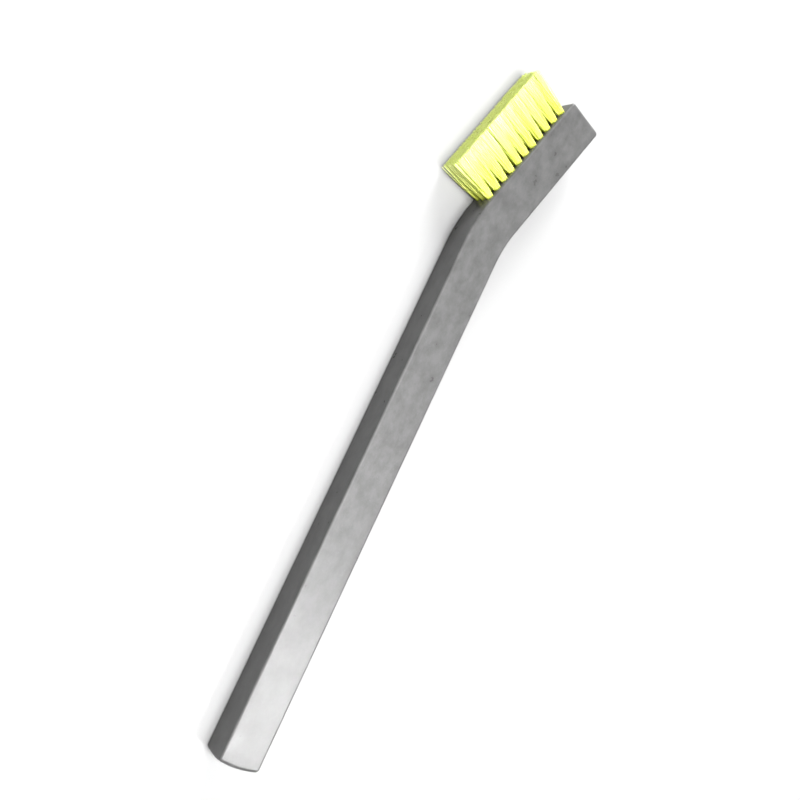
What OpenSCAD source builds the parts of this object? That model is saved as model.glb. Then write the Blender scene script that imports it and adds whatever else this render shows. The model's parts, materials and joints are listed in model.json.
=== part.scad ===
// Small brass scratch brush for cleaning soldering tips.
// A square bar, bent at the neck, carries rows of brass wire tufts. Each tuft is a bundle of
// wires folded in half over a flat anchor, and driven with it into its own blind hole.
// The brush lies on one side: X runs along the grip towards the butt, the bristles face -Y
// and +Z is up, with the origin on the surface it lies on, at the middle of its outline.

/* [Handle] */
// Length along the centre line, from the butt to the tip of the head, mm
overall_len = 182; // [150:1:220]
// Width of the bar across the rows, mm
bar_w = 9.2; // [9:0.2:12]
// Thickness of the bar along the bristles, mm
bar_t = 10.8; // [9:0.2:14]
// Length of the head, from the corner of the bend to the tip, mm
head_len = 41.4; // [40:0.2:55]
// Angle that the head is bent back from the bristles, degrees
bend = 15.7; // [5:0.1:25]
// Radius of the bend at the centre line, mm
bend_r = 40; // [20:1:45]
// Rounding of the long edges, mm
edge_r = 0.6; // [0.4:0.1:0.8]
// Rounding of the corners at the tip of the head, mm
tip_r = 1.1; // [0.9:0.1:2]
// Radius of the domed butt, mm
dome_r = 25; // [15:1:60]

/* [Bristles] */
// Tufts in each row
tufts_per_row = 11; // [5:1:11]
// Distance between the tufts in a row, mm
pitch = 3; // [2.5:0.1:3]
// Distance between the rows, mm
row_pitch = 2.45; // [2.4:0.05:2.6]
// Distance from the corner of the bend to the first tuft, mm
first_tuft = 7.4; // [6.5:0.1:8]
// Diameter of the drilled holes, mm
hole_d = 2; // [1.6:0.1:2]
// Depth of the holes to the start of the drill point, mm
hole_depth = 6.4; // [5:0.1:7.5]
// Height of the bristles above the head, mm
trim = 12.4; // [8:0.2:16]
// Diameter of a tuft at its tips, mm
tuft_top_d = 2.4; // [2.1:0.1:2.4]

/* [Anchors] */
// Width of an anchor, wider than the hole so that it bites, mm
anchor_w = 2.6; // [2.2:0.1:2.8]
// Thickness of an anchor, mm
anchor_t = 0.3; // [0.2:0.05:0.4]
// Height of an anchor, mm
anchor_h = 1.6; // [1:0.1:2.2]
// Angle between an anchor and the row, degrees
anchor_turn = 35; // [20:1:50]
// Depth of folded wire under an anchor, mm
fold = 0.8; // [0.5:0.1:1]

/* [Hidden] */
$fn = 64;
ROWS = ["upper", "middle", "lower"];
grip_len = overall_len - head_len;
drill_point_h = hole_d / 2 / tan(59);
anchor_z = -hole_depth + fold;
arc_reach = bend_r * tan(bend / 2);
overlap = 0.5;

// The outline in plan, measured from the corner of the bend, and its middle.
last_tuft = first_tuft + (tufts_per_row - 1) * pitch;
tips_z = bar_t / 2 + trim;
tufts_left = (last_tuft + tuft_top_d / 2) * cos(bend) + tips_z * sin(bend);
tip_left = (head_len - tip_r) * cos(bend) + (bar_t / 2 - tip_r) * sin(bend) + tip_r;
outline_left = -max(tufts_left, tip_left);
outline_front = first_tuft * sin(bend) - tips_z * cos(bend) - tuft_top_d / 2 * sin(bend);
outline_back = (head_len - tip_r) * sin(bend) + (bar_t / 2 - tip_r) * cos(bend) + tip_r;
middle = [(outline_left + grip_len) / 2, (outline_front + outline_back) / 2];

// A rotation is kept to six figures, which turns and scales a shape slightly wrong.
function six_figures(v) = let (p = pow(10, 5 - floor(log(abs(v))))) round(v * p) / p;
function kept_turn(a) = atan2(six_figures(sin(a)), six_figures(cos(a)));
function kept_size(a) = norm([six_figures(sin(a)), six_figures(cos(a))]);

// So the bend is made in two turns, picked so that what is wrong with their sizes cancels.
turns = [for (k = [1:499]) bend * k / 500];
size_errors = [for (a = turns) abs(kept_size(a) * kept_size(bend - a) - 1)];
first_turn = turns[search(min(size_errors), size_errors)[0]];
second_turn = bend - first_turn;

function two_digits(i) = str(i < 10 ? "0" : "", i);
function tuft_name(row, i) = str("tuft_", row, "_", two_digits(i));
function anchors_name(row) = str("anchors_", row, "_row");

// Moves a shape from the corner of the bend, on the bar's centre line, to its place.
module placed() {
    translate([-middle.x, -middle.y, bar_w / 2]) children();
}

// Local X runs along the head to its tip, and local Z the way the bristles point.
module on_head() {
    placed() rotate([-90, 0, 180 - bend]) children();
}

// Local origin at the mouth of one hole.
module at_hole(row, i) {
    across = (search([row], ROWS)[0] - (len(ROWS) - 1) / 2) * row_pitch;
    on_head() translate([first_tuft + (i - 1) * pitch, across, bar_t / 2]) children();
}

// A rectangle with round corners, centred.
module round_rect(size, r) {
    square([size.x - 2 * r, size.y], center = true);
    square([size.x, size.y - 2 * r], center = true);
    for (x = [-1, 1], y = [-1, 1])
        translate([x * (size.x / 2 - r), y * (size.y / 2 - r)]) circle(r);
}

// The bar's cross-section: thickness along X, width along Y.
module section() {
    round_rect([bar_t, bar_w], edge_r);
}

// The straight grip, towards +X from the end of the bend, with a domed butt.
module grip_bar() {
    length = grip_len - arc_reach;
    intersection() {
        rotate([90, 0, 90]) linear_extrude(length) section();
        union() {
            translate([-overlap, -bar_w, -bar_w])
                cube([length - dome_r + overlap, 2 * bar_w, 2 * bar_w]);
            translate([length - dome_r, 0, 0]) sphere(dome_r);
        }
    }
}

// The neck, bent about a centre on the side away from the bristles.
module neck() {
    translate([0, bend_r, 0]) rotate_extrude(angle = bend, start = -90 - bend)
        translate([bend_r, 0]) section();
}

// Carries a shape round the bend. The last, tiny turn makes up what the two are short of, so
// that the shape meets the end of the neck face to face.
module round_the_bend() {
    short = bend - kept_turn(first_turn) - kept_turn(second_turn);
    translate([0, bend_r, 0]) rotate([0, 0, -first_turn]) rotate([0, 0, -second_turn])
        rotate([0, 0, -short]) translate([0, -bend_r, 0]) children();
}

// The straight head, towards -X from the end of the neck, with its tip rounded in both views.
module head_bar() {
    length = head_len - arc_reach;
    intersection() {
        rotate([90, 0, -90]) linear_extrude(length) section();
        linear_extrude(2 * bar_w, center = true) round_rect([2 * length, bar_t], tip_r);
        rotate([90, 0, 0]) linear_extrude(2 * bar_w, center = true)
            round_rect([2 * length, bar_w], tip_r);
    }
}

// A drilled hole, with its mouth on local Z = 0.
module drilled_hole() {
    translate([0, 0, -hole_depth]) cylinder(h = hole_depth + overlap, d = hole_d);
    translate([0, 0, -hole_depth - drill_point_h])
        cylinder(h = drill_point_h, d1 = 0, d2 = hole_d);
}

// The bar with its holes. Each anchor bites into the wall of its hole on both sides.
module handle() {
    color([0.62, 0.62, 0.62]) difference() {
        placed() translate([arc_reach, 0, 0]) {
            grip_bar();
            neck();
            round_the_bend() head_bar();
        }
        for (row = ROWS, i = [1:tufts_per_row]) at_hole(row, i) {
            drilled_hole();
            anchor();
        }
    }
}

// One anchor, in place in its hole.
module anchor() {
    rotate(anchor_turn) translate([-anchor_w / 2, -anchor_t / 2, anchor_z])
        cube([anchor_w, anchor_t, anchor_h]);
}

module anchors(row) {
    color([0.7, 0.68, 0.62]) for (i = [1:tufts_per_row]) at_hole(row, i) anchor();
}

// One tuft: wires folded round the anchor at the root, parting towards the tips.
module tuft(row, i) {
    color([0.82, 0.84, 0.25]) at_hole(row, i) difference() {
        union() {
            cylinder(h = trim, d1 = hole_d, d2 = tuft_top_d);
            tuft_root();
        }
        anchor();
    }
}

// The part of a tuft inside its hole, with the fold round under the anchor.
module tuft_root() {
    fold_r = hole_d / 2;
    translate([0, 0, fold_r - hole_depth]) cylinder(h = hole_depth - fold_r, d = hole_d);
    intersection() {
        translate([0, 0, -hole_depth]) cylinder(h = hole_depth, d = hole_d);
        rotate(anchor_turn) translate([0, 0, fold_r - hole_depth]) rotate([0, 90, 0])
            cylinder(h = 2 * hole_d, r = fold_r, center = true);
    }
}

handle();
for (row = ROWS, i = [1:tufts_per_row])
    tuft(row, i);
for (row = ROWS)
    anchors(row);
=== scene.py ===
import json
import math

import bmesh
import bpy
import numpy as np
from mathutils import Matrix, Quaternion, Vector


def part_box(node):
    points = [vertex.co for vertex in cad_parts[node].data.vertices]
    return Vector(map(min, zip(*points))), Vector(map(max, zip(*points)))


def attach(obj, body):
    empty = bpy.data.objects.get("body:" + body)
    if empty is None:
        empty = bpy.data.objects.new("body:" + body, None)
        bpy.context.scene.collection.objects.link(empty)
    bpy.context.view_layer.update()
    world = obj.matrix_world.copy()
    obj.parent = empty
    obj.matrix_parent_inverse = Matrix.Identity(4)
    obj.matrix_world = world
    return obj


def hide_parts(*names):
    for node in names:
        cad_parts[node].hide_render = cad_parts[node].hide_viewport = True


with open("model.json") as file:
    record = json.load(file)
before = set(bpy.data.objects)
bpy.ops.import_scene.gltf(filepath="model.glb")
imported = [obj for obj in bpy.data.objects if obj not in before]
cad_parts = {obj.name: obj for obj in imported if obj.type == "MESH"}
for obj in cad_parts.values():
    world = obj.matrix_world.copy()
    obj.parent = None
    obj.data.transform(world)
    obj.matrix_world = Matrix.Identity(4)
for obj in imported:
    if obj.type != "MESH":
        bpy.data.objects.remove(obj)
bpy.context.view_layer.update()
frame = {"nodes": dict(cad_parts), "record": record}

# A brass wire brush lying on its side on a pale floor. The mesh code works in millimetres, in the
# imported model's frame: +X to the butt, +Y away from the bristles, +Z up across the rows of tufts.
MM = 0.001

# ---- Sizes that the frame's boxes don't give, the same as the CAD model's ----
TRIM = 12.4
HOLE_R = 1.0
HOLE_DEPTH = 6.4
DRILL_POINT = 0.6
EDGE_R = 0.6
TIP_R = 1.1
DOME_R = 25.0
BEND_R = 40.0
ANCHOR = Vector((2.6, 0.3, 1.6))
ANCHOR_TURN = math.radians(35)
FOLD = 0.8

# ---- Finer than the CAD model ----
BUTT_EDGE_R = 0.8
HOLE_CHAMFER = 0.12
WIRE_R = 0.085
ROWS = ("upper", "middle", "lower")

# ---- Colours ----
PLASTIC_DARK = (0.050, 0.050, 0.0495, 1)
PLASTIC_LIGHT = (0.069, 0.069, 0.0685, 1)
PLASTIC_SPECK = (0.12, 0.12, 0.119, 1)
# Two tints of the wire at its root and at its tip, and the stain that lies over both. The root
# tints are darker and deeper yellow: painted shade, where the tufts shade each other near their
# holes.
WIRE_ROOT_PAINTED_SHADE = (0.66, 0.73, 0.06, 1), (0.71, 0.77, 0.10, 1)
WIRE_TIP = (0.70, 0.77, 0.22, 1), (0.75, 0.81, 0.32, 1)
WIRE_STAIN = (0.57, 0.65, 0.09, 1)
STRIP_DARK = (0.60, 0.52, 0.26, 1)
STRIP_LIGHT = (0.78, 0.70, 0.40, 1)
FLOOR_GREY = (0.255, 0.255, 0.255, 1)


# ---- Where things are, from the frame ----
def box_mm(node):
    low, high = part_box(node)
    return low / MM, high / MM


def tuft_name(row, number):
    return f"tuft_{row}_{number:02d}"


tufts_per_row = sum(name.startswith("tuft_middle_") for name in frame["nodes"])
first_low, _ = box_mm(tuft_name("middle", 1))
last_low, _ = box_mm(tuft_name("middle", tufts_per_row))
handle_low, handle_high = box_mm("handle")
grip_back = next(m for m in frame["record"]["mounts"] if m["name"] == "grip_back")

along = (last_low - first_low).normalized()      # along the head, to its tip
out = Vector((-along.y, along.x, 0))             # the way the bristles point
up = Vector((0, 0, 1))                           # across the rows
bend = math.atan2(along.y, -along.x)
bar_w = handle_high.z - handle_low.z
bar_t = grip_back["pos_m"][1] / MM - handle_low.y
axis_y = handle_low.y + bar_t / 2
axis_z = bar_w / 2


def hole_mouth(node):
    """The middle of the mouth of a tuft's hole. A tuft's box ends at the rim of its top disc."""
    low, high = box_mm(node)
    top_r = (high.z - low.z) / 2
    tip = Vector((low.x + top_r * math.cos(bend), low.y + top_r * math.sin(bend), low.z + top_r))
    return tip - out * TRIM


on_head_axis = hole_mouth(tuft_name("middle", 1)) - out * bar_t / 2
corner = on_head_axis - along * ((on_head_axis.y - axis_y) / along.y)     # of the bend
arc_reach = BEND_R * math.tan(bend / 2)
tip_corner_x = handle_low.x + TIP_R + (bar_t / 2 - TIP_R) * math.sin(bend)
head_len = (corner.x - tip_corner_x) / math.cos(bend) + TIP_R


# ---- Materials ----
def new_material(name):
    """A material with its node tree and Principled shader, and a helper that adds nodes."""
    material = bpy.data.materials.new(name)
    material.use_nodes = True
    nodes, links = material.node_tree.nodes, material.node_tree.links
    shader = nodes["Principled BSDF"]

    def add(kind, inputs=(), **settings):
        node = nodes.new(kind)
        for key, value in settings.items():
            setattr(node, key, value)
        for key, value in dict(inputs).items():
            if isinstance(value, bpy.types.NodeSocket):
                links.new(value, node.inputs[key])
            else:
                node.inputs[key].default_value = value
        return node

    return material, shader, add, links


def noise(add, where, scale, detail=2.0, roughness=0.5):
    """Noise from 0 to 1, with the scale in cells per metre."""
    inputs = {"Vector": where, "Scale": scale, "Detail": detail, "Roughness": roughness}
    return add("ShaderNodeTexNoise", inputs).outputs["Fac"]


def ramp(add, value, low, high, to_low, to_high):
    """Carries a value from the range low, high to the range to_low, to_high, and no further."""
    inputs = {0: value, 1: low, 2: high, 3: to_low, 4: to_high}
    return add("ShaderNodeMapRange", inputs).outputs[0]


def mixed(add, share, first, second):
    """Two colours, each a value or a socket, mixed by share."""
    node = add("ShaderNodeMix", {"Factor": share}, data_type="RGBA")
    for key, value in (("A", first), ("B", second)):
        socket = [s for s in node.inputs if s.name == key and s.type == "RGBA"][0]
        if isinstance(value, bpy.types.NodeSocket):
            node.id_data.links.new(value, socket)
        else:
            socket.default_value = value
    return [s for s in node.outputs if s.type == "RGBA"][0]


def handle_plastic():
    """Light grey moulded plastic: satin, clouded where the melt flowed, with a fine grain."""
    material, shader, add, links = new_material("handle_plastic")
    where = add("ShaderNodeTexCoord").outputs["Object"]
    stretched = add("ShaderNodeMapping", {"Vector": where, "Scale": (0.7, 1.0, 1.0)}).outputs[0]
    clouds = noise(add, stretched, 330.0, detail=4.0, roughness=0.62)
    specks = noise(add, where, 2600.0, detail=2.0)
    grain = noise(add, where, 5200.0, detail=2.0, roughness=0.6)
    ripple = noise(add, stretched, 420.0, detail=2.0)
    cloud_share = ramp(add, clouds, 0.36, 0.64, 0.0, 1.0)
    base = mixed(add, cloud_share, PLASTIC_DARK, PLASTIC_LIGHT)
    speck_share = ramp(add, specks, 0.62, 0.78, 0.0, 0.25)
    base = mixed(add, speck_share, base, PLASTIC_SPECK)
    links.new(base, shader.inputs["Base Color"])
    links.new(ramp(add, clouds, 0.3, 0.7, 0.27, 0.37), shader.inputs["Roughness"])
    shader.inputs["IOR"].default_value = 1.32
    height = add("ShaderNodeMath", {0: grain, 1: 0.35}, operation="MULTIPLY").outputs[0]
    height = add("ShaderNodeMath", {0: ripple, 1: height}, operation="ADD").outputs[0]
    bump = add("ShaderNodeBump", {"Height": height, "Strength": 0.12, "Distance": 0.0001})
    links.new(bump.outputs[0], shader.inputs["Normal"])
    return material


def bristle_wire():
    """Bright drawn brass with a lemon green cast. Each wire has its own tint, and painted shade
    darkens it toward its root.
    """
    material, shader, add, links = new_material("bristle_wire")
    tint = add("ShaderNodeAttribute", attribute_name="wire_tint").outputs["Fac"]
    where = add("ShaderNodeTexCoord").outputs["Object"]
    height = add("ShaderNodeAttribute", attribute_name="wire_height").outputs["Fac"]
    stain = ramp(add, noise(add, where, 900.0, detail=3.0), 0.35, 0.75, 0.0, 0.35)
    root = mixed(add, tint, *WIRE_ROOT_PAINTED_SHADE)
    tip = mixed(add, tint, *WIRE_TIP)
    # Painted shade: darker and deeper yellow toward the roots, lighter toward the tips, by the
    # wire's height.
    base = mixed(add, ramp(add, height, 0.2, 1.0, 0.0, 1.0), root, tip)
    base = mixed(add, stain, base, WIRE_STAIN)
    links.new(base, shader.inputs["Base Color"])
    shader.inputs["Metallic"].default_value = 0.7
    shader.inputs["Roughness"].default_value = 0.4
    shader.inputs["Coat Weight"].default_value = 1.0
    shader.inputs["Coat Roughness"].default_value = 0.25
    shader.inputs["Coat IOR"].default_value = 1.75
    return material


def anchor_strip():
    """Plain brass strip, scored along its length and duller than the bristles."""
    material, shader, add, links = new_material("anchor_strip")
    where = add("ShaderNodeTexCoord").outputs["Object"]
    scored = add("ShaderNodeMapping", {"Vector": where, "Scale": (1.0, 6.0, 1.0)}).outputs[0]
    score = noise(add, scored, 1500.0, detail=3.0)
    base = mixed(add, score, STRIP_DARK, STRIP_LIGHT)
    links.new(base, shader.inputs["Base Color"])
    shader.inputs["Metallic"].default_value = 1.0
    shader.inputs["Roughness"].default_value = 0.42
    return material


def floor_paint():
    """Plain matt paint. It is grey, because the lights are strong enough to make it read white."""
    material, shader, *_ = new_material("floor_paint")
    shader.inputs["Base Color"].default_value = FLOOR_GREY
    shader.inputs["Roughness"].default_value = 0.9
    shader.inputs["Specular IOR Level"].default_value = 0.1
    return material


# ---- Mesh helpers ----
def new_object(name, mesh, material):
    """An object with one material, linked to the scene."""
    mesh.materials.append(material)
    piece = bpy.data.objects.new(name, mesh)
    bpy.context.scene.collection.objects.link(piece)
    return piece


def piece_for(piece, node):
    """The piece rides on the one body and stands for its CAD node."""
    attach(piece, "root")
    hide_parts(node)


def shade_smooth(mesh, angle):
    """Smooth shading, with the edges sharper than angle, in degrees, kept sharp."""
    mesh.polygons.foreach_set("use_smooth", [True] * len(mesh.polygons))
    mesh.set_sharp_from_angle(angle=math.radians(angle))


def lofted(rings):
    """A closed bmesh through rings of equally many points, with a centre point at each end."""
    bm = bmesh.new()
    made = [[bm.verts.new(p * MM) for p in ring] for ring in rings]
    count = len(rings[0])
    for low, high in zip(made, made[1:]):
        for i in range(count):
            j = (i + 1) % count
            bm.faces.new((low[i], low[j], high[j], high[i]))
    for ring, flip in ((made[0], True), (made[-1], False)):
        centre = bm.verts.new(sum((v.co for v in ring), Vector()) / count)
        for i in range(count):
            a, b = ring[i], ring[(i + 1) % count]
            bm.faces.new((b, a, centre) if flip else (a, b, centre))
    bmesh.ops.recalc_face_normals(bm, faces=bm.faces)
    return bm


# ---- The handle ----
# Steps of the section's corners and sides, of a rounded end, of the grip and of the bend.
CORNER_STEPS = 6
SIDE_STEPS = 8
END_STEPS = 6
GRIP_STEPS = 16
BEND_STEPS = 20
HOLE_SIDES = 40
# Sizes of the rings that close an end, as shares of its rim.
CAP_SHARES = (0.82, 0.6, 0.38, 0.16)
LEAST_CORNER_R = 0.05
# The straight rings start this far in front of the butt, clear of its dome.
BUTT_CLEAR = 4.0
# A hole's cutter starts this far above the face, and its point has a flat of this share of it.
CUTTER_ABOVE = 0.5
POINT_FLAT = 0.08
PLASTIC_SHARP = 30


def section(inset, corner_r):
    """The bar's outline as (thickness, width) points, moved in by inset."""
    half_t, half_w = bar_t / 2 - inset - corner_r, bar_w / 2 - inset - corner_r
    corners = []
    for quarter, (sign_t, sign_w) in enumerate(((1, 1), (-1, 1), (-1, -1), (1, -1))):
        angles = [math.radians(90 * (quarter + k / CORNER_STEPS)) for k in range(CORNER_STEPS + 1)]
        corners.append([
            (sign_t * half_t + corner_r * math.cos(a), sign_w * half_w + corner_r * math.sin(a))
            for a in angles
        ])
    points = []
    for arc, following in zip(corners, corners[1:] + corners[:1]):
        points += arc
        (t0, w0), (t1, w1) = arc[-1], following[0]
        shares = [k / SIDE_STEPS for k in range(1, SIDE_STEPS)]
        points += [(t0 + (t1 - t0) * k, w0 + (w1 - w0) * k) for k in shares]
    return points


def end_sections(edge_r, dome_r=None):
    """Sections of a rounded end, each point as (thickness, width, depth behind the end)."""
    def dome(t, w):
        return dome_r - math.sqrt(dome_r ** 2 - t * t - w * w) if dome_r else 0.0

    sections = []
    for step in range(END_STEPS + 1):
        angle = math.pi / 2 * step / END_STEPS
        inset = edge_r * (1 - math.cos(angle))
        corner_r = max(EDGE_R - inset * min(1.0, EDGE_R / edge_r), LEAST_CORNER_R)
        drop = edge_r * (1 - math.sin(angle))
        sections.append([(t, w, dome(t, w) + drop) for t, w in section(inset, corner_r)])
    rim = sections[-1]
    for share in CAP_SHARES:
        sections.append([(t * share, w * share, dome(t * share, w * share)) for t, w, _ in rim])
    return sections


def handle_rings():
    """Rings of points from the middle of the butt to the middle of the tip."""
    butt = Vector((handle_high.x, axis_y, axis_z))
    back = Vector((0, 1, 0))
    rings = []
    for points in reversed(end_sections(BUTT_EDGE_R, DOME_R)):
        rings.append([butt + Vector((-d, 0, 0)) + back * t + up * w for t, w, d in points])

    full = section(0, EDGE_R)
    arc_start = Vector((corner.x + arc_reach, axis_y, axis_z))
    grip_from = butt.x - BUTT_CLEAR
    for step in range(GRIP_STEPS + 1):
        x = grip_from + (arc_start.x - grip_from) * step / GRIP_STEPS
        rings.append([Vector((x, axis_y, axis_z)) + back * t + up * w for t, w in full])

    centre = arc_start + back * BEND_R
    for step in range(1, BEND_STEPS + 1):
        turn = Matrix.Rotation(-bend * step / BEND_STEPS, 3, "Z")
        rings.append([
            centre + turn @ (arc_start - centre + back * t) + up * w for t, w in full
        ])

    tip = corner + along * head_len
    for points in end_sections(TIP_R):
        rings.append([tip - along * d - out * t + up * w for t, w, d in points])
    return rings


def hole_profile():
    """(height, radius) steps of a drilled hole with a softened mouth, from above the face down."""
    return (
        (CUTTER_ABOVE, HOLE_R + HOLE_CHAMFER),
        (0.0, HOLE_R + HOLE_CHAMFER),
        (-HOLE_CHAMFER, HOLE_R),
        (-HOLE_DEPTH, HOLE_R),
        (-HOLE_DEPTH - DRILL_POINT * (1 - POINT_FLAT), HOLE_R * POINT_FLAT),
    )


def cutter(name, bms):
    """One object from several closed bmeshes, for a boolean. It is deleted afterwards."""
    mesh = bpy.data.meshes.new(name)
    whole = bmesh.new()
    for bm in bms:
        part = bpy.data.meshes.new("part")
        bm.to_mesh(part)
        bm.free()
        whole.from_mesh(part)
        bpy.data.meshes.remove(part)
    whole.to_mesh(mesh)
    whole.free()
    tool = bpy.data.objects.new(name, mesh)
    bpy.context.scene.collection.objects.link(tool)
    return tool


def drilled_hole(mouth):
    """The space of one hole."""
    angles = [2 * math.pi * i / HOLE_SIDES for i in range(HOLE_SIDES)]
    rings = []
    for height, radius in hole_profile():
        rings.append([
            mouth + out * height + (along * math.cos(a) + up * math.sin(a)) * radius
            for a in angles
        ])
    return lofted(rings)


def anchor_pocket(mouth):
    """The space of an anchor, which bites into both sides of its hole."""
    long_way = along * math.cos(ANCHOR_TURN) - up * math.sin(ANCHOR_TURN)
    thin_way = along * math.sin(ANCHOR_TURN) + up * math.cos(ANCHOR_TURN)
    low = FOLD - HOLE_DEPTH
    rings = []
    for height in (low, low + ANCHOR.z):
        middle = mouth + out * height
        rings.append([
            middle + long_way * ANCHOR.x / 2 * a + thin_way * ANCHOR.y / 2 * b
            for a, b in ((1, 1), (-1, 1), (-1, -1), (1, -1))
        ])
    return lofted(rings)


def make_handle(material, mouths):
    """The bar with its holes and the anchors' pockets cut out."""
    bm = lofted(handle_rings())
    mesh = bpy.data.meshes.new("handle_moulding")
    bm.to_mesh(mesh)
    bm.free()
    piece = new_object("handle_moulding", mesh, material)
    tools = [
        cutter("holes", [drilled_hole(m) for m in mouths]),
        cutter("pockets", [anchor_pocket(m) for m in mouths]),
    ]
    for tool in tools:
        cut = piece.modifiers.new(tool.name, "BOOLEAN")
        cut.operation = "DIFFERENCE"
        cut.solver = "EXACT"
        cut.object = tool
    graph = bpy.context.evaluated_depsgraph_get()
    drilled = bpy.data.meshes.new_from_object(piece.evaluated_get(graph), depsgraph=graph)
    piece.modifiers.clear()
    piece.data = drilled
    for tool in tools:
        bpy.data.objects.remove(tool)
    shade_smooth(drilled, PLASTIC_SHARP)
    normals = piece.modifiers.new("flat faces stay flat", "WEIGHTED_NORMAL")
    normals.keep_sharp = True
    piece_for(piece, "handle")


# ---- The tufts ----
# A wire is folded in half over its anchor, so its path is one end, the fold and the other end.
# Places in a tuft are (a, b, h): along the head, up across the rows, and out of the hole.
LAYER_STEP = 0.152
WIRE_STEP = 0.175
PACKED_R = 0.9
PACKED_MARGIN = 0.02
WIRE_SIDES = 6
ABOVE_STEPS = 9
FOLD_STEPS = 5
WIRE_SHARP = 75
# How far the tips of a tuft reach from its middle, where nothing holds them in and where the next
# tuft does, along the head and across the rows.
FREE_REACH = (1.95, 1.13)
SHARED_REACH = (1.52, 1.25)
SQUARENESS = 0.85
# How quickly a held tuft fills out above its hole, along the head and across the rows.
CLOSING = np.array([1.3, 3.0])
# A free side fills out partly like a held one, by this share, and for the rest evenly.
FREE_HELD = 0.35
SQUARING = 3
# How far the wires differ: slid along the anchor, leaning, bowed and cut short. A few stray.
SLIDE = 0.012
LEAN = 0.06
BOW = 0.05
UNEVEN = 0.06
CUT_ABOVE = 0.02
STRAY_SHARE = 0.025
STRAY_LEAN = 0.35
# At the mouth of the hole the innermost wires are this far from the middle. They have parted for
# the anchor this far above it, and their folds fill this share of the room under it.
INNERMOST = 0.06
ANCHOR_CLEAR = 0.5
FOLD_FILL = 0.95


def wire_roots():
    """Places of the wires on one side of an anchor, as (along the anchor, away from it)."""
    roots = []
    layer = 0
    away = ANCHOR.y / 2 + WIRE_R
    while away < PACKED_R:
        half = math.sqrt(PACKED_R ** 2 - away ** 2)
        count = int(2 * half / WIRE_STEP) + 1
        if count % 2 == layer % 2:
            count -= 1
        roots += [((k - (count - 1) / 2) * WIRE_STEP, away) for k in range(count)]
        layer += 1
        away += LAYER_STEP
    return np.array(roots)


def squared(p):
    """Carries points of the unit disc part of the way to the unit square."""
    x, y = p[:, 0], p[:, 1]
    root2 = math.sqrt(2)
    sx = (np.sqrt(np.maximum(2 + x * x - y * y + 2 * root2 * x, 0))
          - np.sqrt(np.maximum(2 + x * x - y * y - 2 * root2 * x, 0))) / 2
    sy = (np.sqrt(np.maximum(2 - x * x + y * y + 2 * root2 * y, 0))
          - np.sqrt(np.maximum(2 - x * x + y * y - 2 * root2 * y, 0))) / 2
    return (1 - SQUARENESS) * p + SQUARENESS * np.stack([sx, sy], 1)


def end_path(rng, root, reach, free):
    """Points of one half of each wire, from its cut end down to the mouth of the hole.

    reach and free hold, for the sides -a, +a, -b and +b, how far the tuft's tips reach and
    whether nothing holds them in there. A tuft is round in its hole and nearly square above it.
    """
    count = len(root)
    unit = root / (PACKED_R + PACKED_MARGIN)
    length = np.linalg.norm(unit, axis=1, keepdims=True)
    unit = np.where(length > 1, unit / np.maximum(length, 1e-9), unit)
    flat = squared(unit)
    side = np.stack([(flat[:, 0] > 0).astype(int), 2 + (flat[:, 1] > 0).astype(int)], 1)
    loose = rng.normal(0, LEAN, (count, 2))
    stray = rng.random(count) < STRAY_SHARE
    loose += stray[:, None] * rng.normal(0, STRAY_LEAN, (count, 2))
    bow = rng.normal(0, BOW, (count, 2))
    top = TRIM - np.abs(rng.normal(0, UNEVEN, count)) + CUT_ABOVE
    points = []
    for step in range(ABOVE_STEPS + 1):
        t = 1 - step / ABOVE_STEPS
        held = 1 - (1 - t) ** CLOSING
        spread = np.where(free[side], FREE_HELD * held + (1 - FREE_HELD) * t, held)
        size = PACKED_R + (reach[side] - PACKED_R) * spread
        squaring = 1 - (1 - t) ** SQUARING
        shape = (1 - squaring) * unit + squaring * flat
        lateral = shape * size + loose * t + bow * math.sin(math.pi * t)
        points.append(np.column_stack([lateral, top * t]))
    return points


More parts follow.
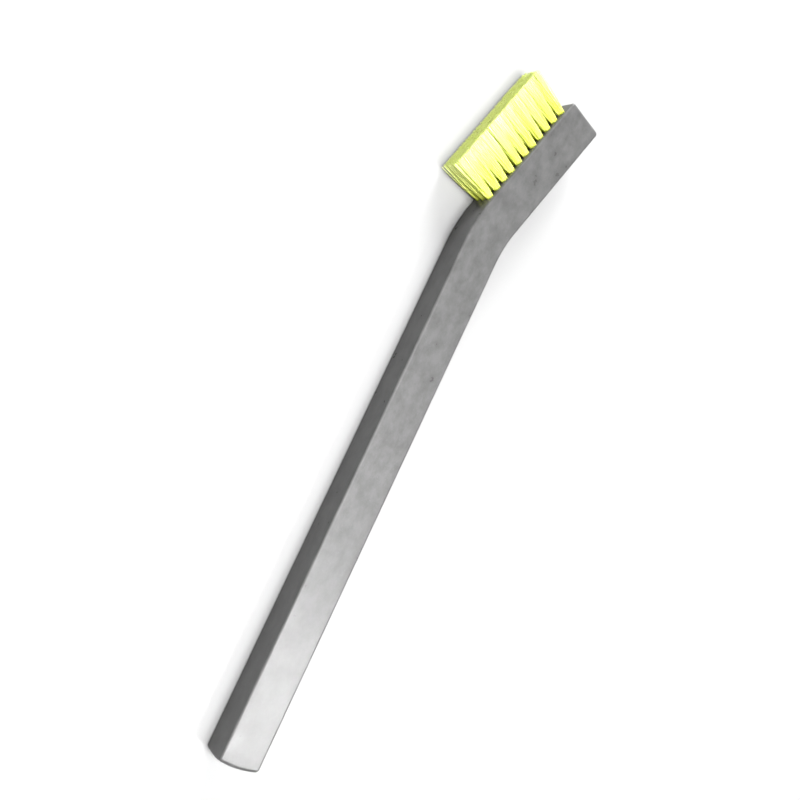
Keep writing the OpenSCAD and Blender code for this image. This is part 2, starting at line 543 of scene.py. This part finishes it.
def tuft_mesh(rng, node, reach, free):
    """The wires of one tuft as one mesh of closed tubes."""
    roots = wire_roots()
    count = len(roots)
    long_way = np.array([math.cos(ANCHOR_TURN), -math.sin(ANCHOR_TURN)])
    thin_way = np.array([math.sin(ANCHOR_TURN), math.cos(ANCHOR_TURN)])
    ends = []
    for sign in (1, -1):
        slid = roots[:, :1] + rng.normal(0, SLIDE, (count, 1))
        away = roots[:, 1:]
        at_anchor = slid * long_way + sign * away * thin_way
        layers_in = (away - away.min()) / (away.max() - away.min())
        closed = INNERMOST + layers_in * (PACKED_R - INNERMOST)
        at_mouth = slid * long_way + sign * closed * thin_way
        points = end_path(rng, at_mouth, reach, free)
        low = FOLD - HOLE_DEPTH
        for height in (low + ANCHOR.z + ANCHOR_CLEAR, low + ANCHOR.z / 2, low):
            points.append(np.column_stack([at_anchor, np.full(count, height)]))
        ends.append(points)
    fold = []
    for step in range(1, FOLD_STEPS + 1):
        angle = math.pi * step / (FOLD_STEPS + 1)
        away = roots[:, 1:] * math.cos(angle)
        drop = roots[:, 1] * FOLD * FOLD_FILL / PACKED_R * math.sin(angle)
        lateral = roots[:, :1] * long_way + away * thin_way
        fold.append(np.column_stack([lateral, FOLD - HOLE_DEPTH - drop]))
    path = np.stack(ends[0] + fold + ends[1][::-1], 1)

    # Rings round each path. The anchor's long way is never along a wire, so they start from it.
    tangent = np.gradient(path, axis=1)
    tangent /= np.linalg.norm(tangent, axis=2, keepdims=True)
    first = np.array([long_way[0], long_way[1], 0.0])
    side = first - (tangent @ first)[..., None] * tangent
    side /= np.linalg.norm(side, axis=2, keepdims=True)
    other = np.cross(tangent, side)
    angles = 2 * np.pi * np.arange(WIRE_SIDES) / WIRE_SIDES
    rings = (path[:, :, None, :]
             + WIRE_R * np.cos(angles)[None, None, :, None] * side[:, :, None, :]
             + WIRE_R * np.sin(angles)[None, None, :, None] * other[:, :, None, :])

    axes = np.array([list(along), list(up), list(out)])
    verts = (rings.reshape(-1, 3) @ axes + np.array(list(hole_mouth(node)))) * MM
    stations = path.shape[1]
    faces = []
    for wire in range(count):
        start = wire * stations * WIRE_SIDES
        for station in range(stations - 1):
            a = start + station * WIRE_SIDES
            for i in range(WIRE_SIDES):
                j = (i + 1) % WIRE_SIDES
                faces.append((a + i, a + j, a + WIRE_SIDES + j, a + WIRE_SIDES + i))
        end = start + (stations - 1) * WIRE_SIDES
        faces.append(tuple(range(start + WIRE_SIDES - 1, start - 1, -1)))
        faces.append(tuple(range(end, end + WIRE_SIDES)))
    mesh = bpy.data.meshes.new(node + "_wires")
    mesh.from_pydata(verts.tolist(), [], faces)
    tint = np.repeat(rng.random(count), stations * WIRE_SIDES)
    # The wire's height drives the painted shade that darkens the wires toward their roots.
    height = np.repeat(np.clip(path[:, :, 2] / TRIM, 0, 1).ravel(), WIRE_SIDES)
    for name, values in (("wire_tint", tint), ("wire_height", height)):
        layer = mesh.attributes.new(name, "FLOAT", "POINT")
        layer.data.foreach_set("value", values.astype(np.float32))
    shade_smooth(mesh, WIRE_SHARP)
    return mesh


def make_tufts(material):
    """All the tufts, each with its own seed."""
    for row_index, row in enumerate(ROWS):
        for number in range(1, tufts_per_row + 1):
            node = tuft_name(row, number)
            free = np.array([
                number == 1, number == tufts_per_row,
                row_index == len(ROWS) - 1, row_index == 0,
            ])
            reach = np.where(free, np.repeat(FREE_REACH, 2), np.repeat(SHARED_REACH, 2))
            rng = np.random.default_rng(1000 * (row_index + 1) + number)
            piece = new_object(node + "_wires", tuft_mesh(rng, node, reach, free), material)
            piece_for(piece, node)


# ---- Camera, light and floor ----
# The camera's place and aim from the corner of the bend in mm, its roll in degrees and its lens.
CAMERA_AWAY = Vector((78.35, -126.24, 239.25))
CAMERA_AIM = Vector((46.10, -0.41, 0))
CAMERA_ROLL = 102.54
CAMERA_LENS = 50.26
SENSOR_WIDTH = 36.0

# Soft boxes: name, place and target in metres, side in metres, power in watts, spread in degrees.
# The gleam lights the butt through a grid, so that less of it reaches the bristles.
EVERY_WAY = 180
LIGHTS = (
    ("overhead", (0.04, 0.06, 1.25), (0, 0, 0), 0.65, 44, EVERY_WAY),
    ("gleam", (0.38, 0.595, 1.12), (0.19, 0, 0), 0.34, 0.49, 16),
    ("sheen", (-0.12, 0.62, 1.2), (0, 0, 0), 0.5, 0.5, EVERY_WAY),
    ("tips", (-1.05, -0.15, 0.34), (-0.06, 0, 0), 0.5, 40, EVERY_WAY),
    ("neck", (1.0, -0.45, 0.3), (-0.06, 0, 0), 0.4, 2.0, EVERY_WAY),
)
FLOOR_HALF = 0.9
WORLD_AS_LIGHT = 0.25
WORLD_AS_SEEN = 0.95


def make_camera():
    """Above the brush and in front of its bristles, with the butt at the foot of the picture."""
    data = bpy.data.cameras.new("camera")
    data.sensor_width = SENSOR_WIDTH
    data.lens = CAMERA_LENS
    data.clip_start, data.clip_end = 0.01, 20
    camera = bpy.data.objects.new("camera", data)
    place = corner + CAMERA_AWAY
    look = (corner + CAMERA_AIM - place).to_track_quat("-Z", "Y")
    camera.location = place * MM
    camera.rotation_mode = "QUATERNION"
    camera.rotation_quaternion = look @ Quaternion((0, 0, 1), math.radians(CAMERA_ROLL))
    bpy.context.scene.collection.objects.link(camera)
    bpy.context.scene.camera = camera


def area_light(name, place, target, size, power, spread):
    """A square soft box that faces its target."""
    data = bpy.data.lights.new(name, "AREA")
    data.spread = math.radians(spread)
    data.shape = "SQUARE"
    data.size = size
    data.energy = power
    light = bpy.data.objects.new(name, data)
    light.location = place
    light.rotation_mode = "QUATERNION"
    light.rotation_quaternion = (Vector(target) - Vector(place)).to_track_quat("-Z", "Y")
    bpy.context.scene.collection.objects.link(light)


def make_floor(material):
    """A plain square that the brush lies on."""
    half = FLOOR_HALF
    corners = [(-half, -half, 0), (half, -half, 0), (half, half, 0), (-half, half, 0)]
    mesh = bpy.data.meshes.new("floor")
    mesh.from_pydata(corners, [], [(0, 1, 2, 3)])
    floor = new_object("floor", mesh, material)
    floor.location.z = handle_low.z * MM


def make_world():
    """Pale all round to look at, and dim as a light, so that the soft boxes do the shaping."""
    world = bpy.data.worlds.new("studio")
    world.use_nodes = True
    nodes, links = world.node_tree.nodes, world.node_tree.links
    seen = nodes.new("ShaderNodeLightPath").outputs["Is Camera Ray"]
    strength = nodes.new("ShaderNodeMapRange")
    links.new(seen, strength.inputs[0])
    strength.inputs["To Min"].default_value = WORLD_AS_LIGHT
    strength.inputs["To Max"].default_value = WORLD_AS_SEEN
    background = nodes["Background"]
    background.inputs["Color"].default_value = (1, 1, 1, 1)
    links.new(strength.outputs[0], background.inputs["Strength"])
    bpy.context.scene.world = world


def make_studio():
    make_camera()
    make_world()
    make_floor(floor_paint())
    for light in LIGHTS:
        area_light(*light)
    bpy.context.scene.cycles.max_bounces = 16
    bpy.context.scene.cycles.glossy_bounces = 14
    bpy.context.scene.view_settings.view_transform = "Standard"


# ---- Build ----
names = [tuft_name(row, number) for row in ROWS for number in range(1, tufts_per_row + 1)]
make_handle(handle_plastic(), [hole_mouth(name) for name in names])
make_tufts(bristle_wire())
strip = anchor_strip()
for name, node in frame["nodes"].items():
    if name.startswith("anchors_"):
        node.data.materials.clear()
        node.data.materials.append(strip)
make_studio()
